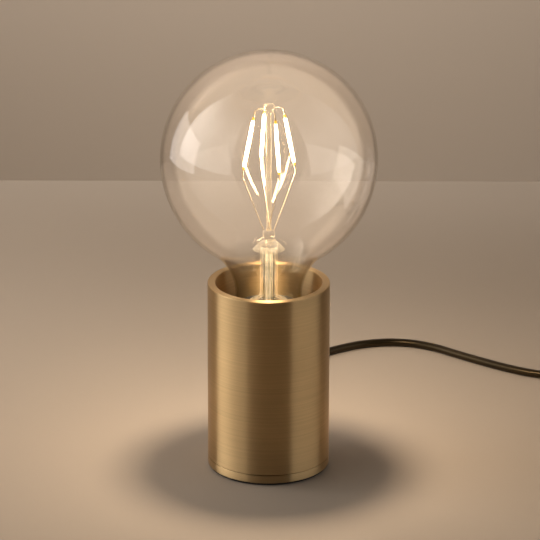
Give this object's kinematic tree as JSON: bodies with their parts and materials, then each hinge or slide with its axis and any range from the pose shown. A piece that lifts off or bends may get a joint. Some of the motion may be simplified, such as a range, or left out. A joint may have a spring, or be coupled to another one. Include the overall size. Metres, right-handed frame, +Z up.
{
  "type": "table lamp",
  "caption": "Bare-bulb table lamp: a globe filament bulb stands out of an open brushed brass tube on a brass base, with a switched mains cord.",
  "frame": {"origin": "middle of the foot on the table, under the centre of the tube", "axes": "+Z up through the bulb, +Y to the back where the cord leaves, +X to the right seen from the front"},
  "size_m": [0.3841, 0.2949, 0.2508],
  "materials": {
    "brushed_brass": "brushed",
    "dark_felt": "felt",
    "zinc_steel": "zinc plated",
    "black_plastic": "satin",
    "ivory_ceramic": "glazed",
    "contact_brass": "plain",
    "clear_glass": "clear",
    "cap_metal": "satin",
    "black_glass": "vitreous",
    "filament_glow": "phosphor",
    "wire_metal": "drawn",
    "circuit_board": "laminate",
    "black_cord": "satin",
    "live_insulation": "satin",
    "neutral_insulation": "satin",
    "black_housing": "satin",
    "pin_steel": "plain",
    "pin_nickel": "nickel plated",
    "sleeve_black": "satin"
  },
  "bodies": {
    "base": {"body_tube": "brushed_brass", "base_plate": "brushed_brass", "foot_pad": "dark_felt", "base_screws": "zinc_steel", "holder_bracket": "zinc_steel", "bracket_screws": "zinc_steel", "nipple": "zinc_steel", "nipple_nut": "zinc_steel", "nipple_washer": "zinc_steel", "clamp_screws": "zinc_steel", "switch_screws": "zinc_steel", "holder_cap": "black_plastic", "holder_body": "black_plastic", "cord_clamp": "black_plastic", "strain_relief": "black_plastic", "holder_core": "ivory_ceramic", "holder_screw_shell": "contact_brass", "centre_contact": "contact_brass", "side_contact": "contact_brass", "terminal_screws": "contact_brass", "switch_contacts": "contact_brass", "cord_run": "black_cord", "cord_link": "black_cord", "cord_coil": "black_cord", "cord_tail": "black_cord", "inner_cord": "black_cord", "live_wire": "live_insulation", "neutral_wire": "neutral_insulation", "switch_lower_housing": "black_housing", "switch_upper_housing": "black_housing", "plug_body": "black_housing", "rocker_pin": "pin_steel", "plug_pins": "pin_nickel", "plug_sleeves": "sleeve_black"},
    "cap_carrier": {"cap_contact": "contact_brass"},
    "bulb": {"cap_insulator": "black_glass", "bulb_cap": "cap_metal", "driver_board": "circuit_board", "bulb_glass": "clear_glass", "bulb_stem": "clear_glass", "exhaust_tube": "clear_glass", "centre_post": "clear_glass", "filaments": "filament_glow", "filament_tabs": "wire_metal", "support_wires": "wire_metal", "lead_wires": "wire_metal", "feed_wires": "wire_metal"},
    "rocker": {"switch_rocker": "black_housing"}
  },
  "joints": [
    {"name": "bulb_rise", "type": "slide", "parent": "base", "child": "cap_carrier", "axis": [0, 0, 1], "range_m": [0, 0.0146]},
    {"name": "bulb_unscrew", "type": "hinge", "parent": "cap_carrier", "child": "bulb", "pos_m": [0, 0, 0.08], "axis": [0, 0, 1], "range_deg": [0, 1440]},
    {"name": "switch_rocker", "type": "hinge", "parent": "base", "child": "rocker", "pos_m": [0.234, 0.129, 0.0113], "axis": [0, -1, 0], "range_deg": [0, 24]}
  ],
  "couplings": [
    {"joint": "bulb_rise", "follows": "bulb_unscrew", "m_per_rad": 0.00057757}
  ]
}
